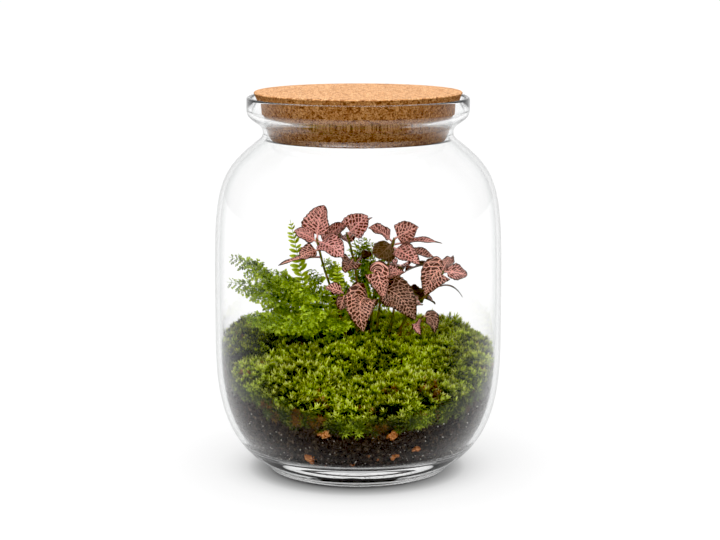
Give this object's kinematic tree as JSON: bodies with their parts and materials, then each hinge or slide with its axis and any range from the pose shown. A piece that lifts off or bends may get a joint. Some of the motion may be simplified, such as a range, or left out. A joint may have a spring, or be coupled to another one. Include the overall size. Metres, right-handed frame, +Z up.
{
  "type": "glass plant terrarium",
  "caption": "Closed glass terrarium: a rounded clear jar with a flared collar and a tapered cork stopper, planted with fern and pink-veined nerve plant in moss over dark soil.",
  "frame": {"origin": "centre of the jar's flat underside, on the surface it stands on", "axes": "+Z up along the jar's axis, front towards -Y, +X to the right as seen from the front"},
  "size_m": [0.22, 0.22, 0.29],
  "materials": {
    "clear_glass": "clear, smooth, colourless",
    "cork": "pressed cork granules, fine and matt",
    "soil": "damp dark crumbs with white specks",
    "bark": "rough orange-brown flakes",
    "moss": "star-shaped shoots, yellow-green tips over a dark inside",
    "fern_leaf": "thin bright green leaflets, soft sheen",
    "fittonia_leaf": "dark green with a salmon-pink net of veins, soft sheen"
  },
  "bodies": {
    "root": {"glass_jar": "clear_glass", "cork_stopper": "cork", "soil": "soil", "bark_chip_front_left": "bark", "bark_chip_front_right": "bark", "bark_chip_low_left": "bark", "bark_chip_low_middle": "bark", "bark_chip_low_right": "bark", "moss_left": "moss", "moss_front_left": "moss", "moss_front_right": "moss", "moss_middle": "moss", "moss_right": "moss", "moss_back_right": "moss", "moss_back_left": "moss", "fern_left_high": "fern_leaf", "fern_left_middle": "fern_leaf", "fern_left_low": "fern_leaf", "fern_left_front": "fern_leaf", "fern_front_left": "fern_leaf", "fern_front": "fern_leaf", "fern_front_right": "fern_leaf", "fern_back_high": "fern_leaf", "fern_upright": "fern_leaf", "fern_bright": "fern_leaf", "fern_middle_left": "fern_leaf", "fern_middle_front": "fern_leaf", "fern_back_left": "fern_leaf", "fern_back": "fern_leaf", "fern_rear_upright": "fern_leaf", "fern_rear_right": "fern_leaf", "fern_rear_left": "fern_leaf", "fern_rear_side": "fern_leaf", "fern_rear_low": "fern_leaf", "fern_rear_low_left": "fern_leaf", "fittonia_left": "fittonia_leaf", "fittonia_middle": "fittonia_leaf", "fittonia_top": "fittonia_leaf", "fittonia_right": "fittonia_leaf", "fittonia_front": "fittonia_leaf", "fittonia_small": "fittonia_leaf", "fittonia_low": "fittonia_leaf", "fittonia_back": "fittonia_leaf"}
  },
  "joints": []
}
